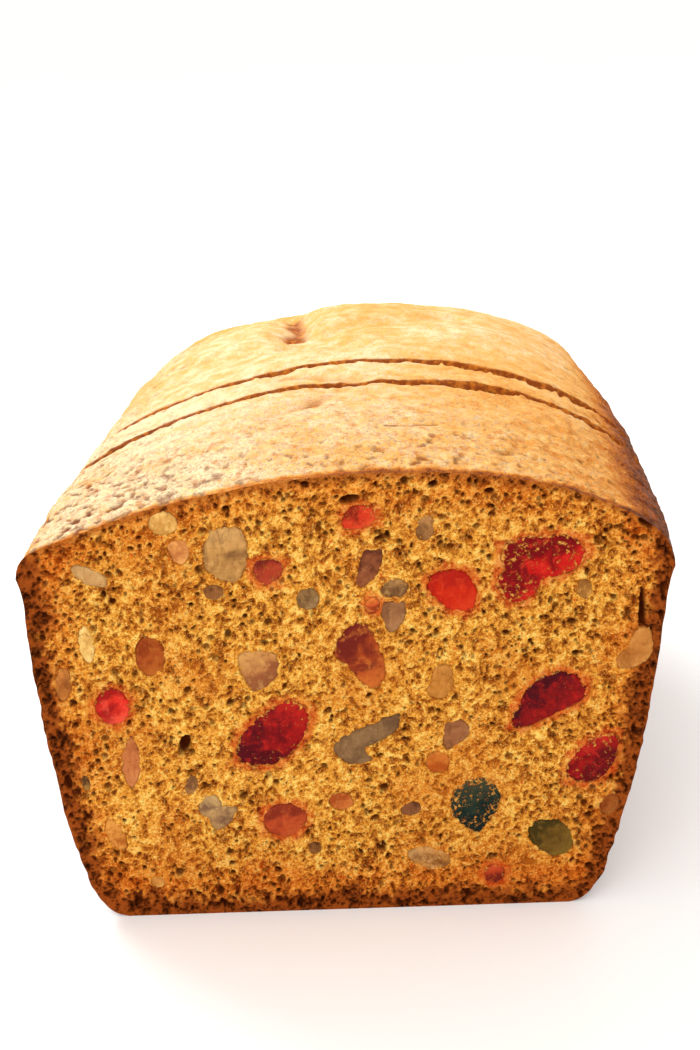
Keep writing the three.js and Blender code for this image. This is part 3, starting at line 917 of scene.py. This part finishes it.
def fruit_look(name, kind, main, dark, light, crumbs):
    """A cut piece of fruit or nut, with crumbs of cake stuck to it, and with painted light and shade
    across its cut.
    """
    look = Look(
        name, radius=(1.0, 0.3, 0.15), specular_ior_level=0.04, coat_weight=KINDS[kind]["coat"],
        coat_roughness=0.3, subsurface_weight=KINDS[kind]["glow"], subsurface_scale=0.003,
    )
    broad = look.noise(5.0, detail=3, warp=0.6)
    fine = look.noise(0.8, detail=4, roughness=0.65)
    painted_lit_side = look.share("painted_lit_side")
    if kind == "nut":
        streaks = look.noise(1.1, detail=3, stretch=((0, 0.6, 0), (1.0, 1.0, 0.22)), warp=0.8)
        base = look.mix(look.ramp(broad, 0.3, 0.6), dark, main)
        # A painted highlight towards the lit side.
        base = look.tint(base, painted_lit_side, 0.5, 0.9, 0.5, light)
        base = look.tint(base, streaks, 0.5, 0.3, 0.4, dark)
    else:
        # Broad tone that differs at random, with painted shade away from the lit side, then a painted
        # highlight on the lit side.
        shade = look.add(broad, look.ramp(painted_lit_side, 0.1, 0.9, -0.16, 0.16))
        base = look.mix(look.ramp(shade, 0.36, 0.6), dark, main)
        base = look.tint(base, painted_lit_side, 0.55, 1.0, 0.6, light)
    mottled = look.noise(1.7, detail=5, roughness=0.7, warp=0.4)
    base = look.tint(base, mottled, 0.5, 0.7, 0.55, light)
    base = look.tint(base, mottled, 0.48, 0.32, 0.6, dark)
    # Crumbs are scattered over the cut, and lie closer together along its rim.
    edge = look.share("edge")
    at_rim = look.add(look.ramp(edge, 0.0, 1.0, 0.0, 0.06), look.ramp(edge, 0.84, 1.0, 0.0, 0.17))
    scattered = look.add(look.noise(0.9, detail=5, roughness=0.75), at_rim)
    stuck = look.ramp(scattered, 0.74 - 0.2 * crumbs, 0.80 - 0.2 * crumbs, 0.0, 0.85)
    crumb = look.mix(look.ramp(fine, 0.38, 0.62), (176, 88, 22), (242, 176, 80))
    base = look.mix(stuck, base, crumb)
    middle = KINDS[kind]["roughness"]
    roughness = look.ramp(fine, 0.3, 0.7, middle - 0.08, middle + 0.12)
    roughness = look.add(roughness, look.times(stuck, 0.4))
    height = look.add(fine, look.times(stuck, 0.8))
    normal = look.bump(look.add(height, mottled), 0.4, 0.8)
    return look.done(base, roughness, normal)


# ---- the fruit and nuts
# The pieces of each sort: main, dark and light colours, and how many crumbs are stuck to each. The dark
# and light colours serve for mottling and also for the painted shade and painted highlight across each
# piece.
PALETTE = {
    "cherry": [
        ((160, 55, 30), (110, 30, 20), (180, 80, 45), 0.55),
        ((195, 50, 25), (130, 30, 10), (225, 95, 45), 0.6),
        ((205, 95, 40), (140, 50, 20), (230, 140, 60), 0.65),
        ((185, 35, 10), (160, 25, 10), (205, 60, 25), 0.15),
        ((185, 20, 15), (110, 5, 10), (230, 60, 35), 0.75),
        ((210, 45, 30), (150, 20, 15), (235, 90, 65), 0.45),
        ((140, 15, 15), (75, 5, 15), (195, 35, 25), 0.5),
        ((125, 15, 15), (65, 5, 15), (190, 30, 20), 0.38),
        ((150, 15, 15), (90, 5, 10), (210, 50, 35), 0.65),
        ((170, 55, 25), (110, 30, 15), (205, 90, 40), 0.6),
    ],
    "green_cherry": [
        ((30, 45, 35), (15, 30, 25), (75, 70, 45), 0.85),
        ((100, 70, 20), (60, 45, 10), (130, 100, 35), 0.12),
    ],
    "green_citron": [((175, 120, 50), (135, 85, 35), (215, 150, 75), 0.55)],
    "walnut": [
        ((220, 170, 90), (185, 130, 60), (240, 195, 115), 0.35),
        ((205, 135, 70), (170, 95, 50), (235, 170, 95), 0.35),
        ((180, 130, 70), (115, 75, 40), (215, 165, 100), 0.15),
        ((135, 100, 60), (75, 45, 25), (170, 135, 90), 0.4),
        ((155, 105, 60), (110, 70, 35), (190, 135, 80), 0.6),
        ((125, 85, 50), (75, 45, 25), (205, 155, 90), 0.6),
        ((155, 105, 65), (120, 75, 45), (175, 130, 85), 0.2),
        ((130, 95, 60), (100, 70, 45), (155, 120, 80), 0.05),
        ((145, 90, 55), (110, 65, 35), (165, 115, 70), 0.25),
        ((175, 135, 85), (110, 75, 55), (205, 170, 110), 0.3),
        ((125, 75, 45), (70, 35, 20), (150, 100, 60), 0.4),
        ((185, 120, 55), (150, 85, 30), (210, 145, 75), 0.3),
        ((175, 105, 45), (130, 70, 25), (215, 135, 65), 0.45),
    ],
    "almond": [
        ((190, 145, 90), (155, 105, 55), (205, 170, 115), 0.25),
        ((185, 120, 50), (150, 90, 30), (210, 145, 70), 0.3),
        ((185, 110, 60), (155, 80, 40), (205, 135, 80), 0.2),
        ((230, 185, 105), (195, 140, 65), (250, 220, 145), 0.45),
        ((200, 130, 55), (165, 90, 30), (230, 160, 75), 0.35),
        ((195, 130, 60), (155, 95, 35), (220, 165, 85), 0.45),
    ],
    "pecan": [((190, 130, 65), (115, 65, 25), (220, 170, 105), 0.15)],
    "raisin": [
        ((130, 80, 40), (75, 40, 20), (170, 115, 65), 0.5),
        ((130, 70, 40), (85, 40, 25), (160, 100, 60), 0.35),
        ((165, 115, 65), (110, 70, 40), (210, 155, 95), 0.5),
        ((130, 95, 45), (80, 50, 25), (185, 135, 70), 0.6),
        ((120, 75, 35), (70, 35, 15), (155, 105, 50), 0.6),
    ],
    "sultana": [((160, 75, 25), (130, 50, 15), (180, 105, 40), 0.1)],
    "date": [((160, 65, 25), (105, 30, 20), (205, 115, 45), 0.25)],
    "apricot": [
        ((185, 100, 35), (165, 75, 20), (205, 125, 50), 0.5),
        ((170, 65, 30), (125, 40, 20), (190, 90, 40), 0.15),
        ((185, 95, 40), (155, 70, 25), (205, 130, 65), 0.5),
        ((180, 100, 20), (155, 75, 10), (195, 135, 35), 0.6),
        ((145, 75, 25), (125, 55, 15), (155, 100, 45), 0.5),
    ],
    "pineapple": [((180, 120, 65), (140, 80, 45), (210, 160, 90), 0.4)],
}
FRUIT = {f"{stem}_{i}": looks for stem, rows in PALETTE.items() for i, looks in enumerate(rows, 1)}
# The kinds that aren't moist, by a piece's name or by its first part.
KIND_OF = {
    "cherry": "candied", "green_cherry": "candied", "apricot_2": "candied",
    "walnut": "nut", "almond": "nut", "pecan": "nut",
}
# The direction, in degrees up from the right, of each piece's painted lit side, where it is painted paler.
PAINTED_LIGHT_SIDES = {
    "cherry_3": 100, "cherry_7": 60, "cherry_9": 100, "cherry_10": 110, "green_cherry_1": 90,
    "walnut_1": 100, "walnut_3": 90, "walnut_5": 90, "walnut_6": 90, "walnut_10": 80, "walnut_13": 90,
    "almond_1": 90, "almond_2": 90, "almond_5": 90, "pecan_1": 120, "apricot_1": 90, "pineapple_1": 120,
}
USUAL_PAINTED_LIGHT_SIDE = -53
FRUIT_ANGLES = 84
FRUIT_RINGS = 16
FRUIT_BACK = 9  # rings from the rim of the cut to the rounded back


def stem_of(node):
    return node.rsplit("_", 1)[0]


def kind_of(node):
    return KIND_OF.get(node) or KIND_OF.get(stem_of(node), "moist")


def fruit_surface(kind, outline, crumbs, seed):
    """Rings of points from the middle of a piece's cut to its rim, and round its back."""
    angle = np.arange(FRUIT_ANGLES) * 2 * math.pi / FRUIT_ANGLES
    radius = radius_at(outline, angle)
    radius = (np.roll(radius, 1) + 2 * radius + np.roll(radius, -1)) / 4
    circle = np.stack([np.cos(angle), np.sin(angle)], axis=-1)
    radius = radius + min(0.25, 0.05 * radius.mean()) * noise(circle * 3 + seed, 0.7, 71)
    inward = np.linspace(0, 1, FRUIT_RINGS + 1)[1:]
    sideways = np.sin(np.linspace(0, 1, FRUIT_BACK + 1)[1:-1] * math.pi / 2)
    shrink = np.concatenate([inward, np.sqrt(1 - sideways**2)])
    back = np.concatenate([np.zeros(FRUIT_RINGS), sideways * outline.depth])[:, None]
    flat = outline.middle + circle[None] * (radius[None] * shrink[:, None])[..., None]
    front = np.concatenate([inward, np.ones(len(sideways))])[:, None] + np.zeros(flat.shape[:2])
    spots = np.concatenate([flat, np.full(flat.shape[:2] + (1,), seed * 7.3)], axis=-1)
    rough = octaves(spots, (0.6, 1.6, 72), (0.4, 0.75, 73))
    stuck = octaves(spots, (1, 1.3, 74), (0.5, 0.6, 75))
    stuck = smoothstep(stuck, 0.75 - 0.5 * crumbs, 1.05 - 0.5 * crumbs)
    lift = KINDS[kind]["dome"] * (1 - front**2) + KINDS[kind]["uneven"] * rough + 0.28 * stuck
    lift = lift - 0.5 * smoothstep(front, 0.86, 1.0)
    depths = np.where(back > 0, np.maximum(back, 0.4), -lift)
    points = FACE_POINT + flat[..., :1] * FACE_ALONG - depths[..., None] * FACE_OUT
    points[..., 2] = flat[..., 1]
    return points, flat, front, radius.max()


def fruit_faces(rings, count):
    """Quads between the rings, and fans that close the middle of the cut and the back."""
    near = np.arange(count)
    following = (near + 1) % count
    last = (rings - 1) * count
    front_middle, back_middle = np.full(count, rings * count), np.full(count, rings * count + 1)
    fan = np.stack([front_middle, near, following], axis=-1)
    closing = np.stack([back_middle, last + following, last + near], axis=-1)
    return [loop_faces(rings, count), fan, closing]


def fruit_piece(node, outline, seed):
    """A piece of fruit or nut, cut across the front and rounded behind."""
    kind = kind_of(node)
    main, dark, light, crumbs = FRUIT[node]
    points, flat, front, widest = fruit_surface(kind, outline, crumbs, seed)
    back_middle = FACE_POINT + outline.middle[0] * FACE_ALONG - outline.depth * FACE_OUT
    back_middle[2] = outline.middle[1]
    side = math.radians(PAINTED_LIGHT_SIDES.get(node, USUAL_PAINTED_LIGHT_SIDE))
    # How far each point lies towards the painted lit side.
    painted_lit_side = 0.5 + 0.5 * ((flat - outline.middle) @ [math.cos(side), math.sin(side)]) / widest
    shares = {"edge": np.append(front.ravel(), [0, 1]), "painted_lit_side": np.append(painted_lit_side.ravel(), [0.5, 0.5])}
    everything = np.concatenate([points.reshape(-1, 3), [points[0].mean(axis=0), back_middle]])
    obj = mesh_object(f"{node}_piece", everything, fruit_faces(*points.shape[:2]), shares)
    obj.data.materials.append(fruit_look(node, kind, main, dark, light, crumbs))
    declare(obj, node)


# ---- floor, camera and light, in metres
FLOOR_REACH = 9
LENS = 54.86
SENSOR = 36
CAMERA_ASIDE = 0.0152
CAMERA_AHEAD = 0.2765  # in front of the first cut
CAMERA_HEIGHT = 0.1832
CAMERA_TILT = 70
CAMERA_TURN = 3.1
WORLD_TINT = (1.0, 0.98, 0.95, 1)
WORLD_STRENGTH = 1.08


def make_floor():
    square = np.array([(-1, -1, 0), (1, -1, 0), (1, 1, 0), (-1, 1, 0)])
    points = square * FLOOR_REACH / MM - TO_PART
    floor = mesh_object("floor", points, [np.array([[0, 1, 2, 3]])], smooth=False)
    look = Look("floor", specular_ior_level=0.3)
    veins = look.noise(160, detail=4)
    base = look.mix(look.ramp(veins, 0.3, 0.7), (250, 250, 250), (252, 252, 252))
    roughness = look.ramp(veins, 0.3, 0.7, 0.4, 0.5)
    floor.data.materials.append(look.done(base, roughness, look.bump(veins, 0.05, 0.1)))


def make_camera():
    camera = bpy.data.cameras.new("camera")
    camera.lens = LENS
    camera.sensor_width = SENSOR
    obj = bpy.data.objects.new("camera", camera)
    front = (FRONT_Y + TO_PART[1]) * MM
    obj.location = (CAMERA_ASIDE, front - CAMERA_AHEAD, CAMERA_HEIGHT)
    obj.rotation_euler = (math.radians(CAMERA_TILT), 0, math.radians(CAMERA_TURN))
    bpy.context.scene.collection.objects.link(obj)
    bpy.context.scene.camera = obj


def area_light(name, place, target_height, size, power):
    light = bpy.data.lights.new(name, "AREA")
    light.shape = "RECTANGLE"
    light.size, light.size_y = size
    light.energy = power
    obj = bpy.data.objects.new(name, light)
    obj.location = place
    towards = Vector((0, 0, target_height)) - Vector(place)
    obj.rotation_euler = towards.to_track_quat("-Z", "Y").to_euler()
    bpy.context.scene.collection.objects.link(obj)


def make_lights():
    world = bpy.data.worlds.new("studio")
    world.use_nodes = True
    background = world.node_tree.nodes["Background"]
    background.inputs["Color"].default_value = WORLD_TINT
    background.inputs["Strength"].default_value = WORLD_STRENGTH
    bpy.context.scene.world = world
    area_light("key", (-0.75, 0.75, 0.9), 0.06, size=(0.8, 0.8), power=14)
    area_light("front", (-0.25, -1.15, 0.75), 0.05, size=(0.9, 0.7), power=5.5)
    bpy.context.scene.view_settings.view_transform = "Standard"


# ---- everything together
make_camera()
make_lights()
make_floor()

front_crust, front_rim = slice_piece(
    "front_crust", "front_slice", cut_line("front", 0), cut_line("near", -CUT_GAP / 2),
    FRONT_COLUMNS, False,
)
middle_crust, _ = slice_piece(
    "middle_slice_crust", "middle_slice", cut_line("near", CUT_GAP / 2), cut_line("far", -CUT_GAP / 2),
    MIDDLE_COLUMNS, True,
)
crust_material = crust_look()
for crust_object in (front_crust, middle_crust, loaf_end_piece()):
    crust_object.data.materials.append(crust_material)

OUTLINES = {node: piece_outline(node) for node in FRUIT}
cut_face_piece(front_rim, OUTLINES).data.materials.append(crumb_look())
for number, (node_name, node_outline) in enumerate(OUTLINES.items()):
    fruit_piece(node_name, node_outline, number + 1)
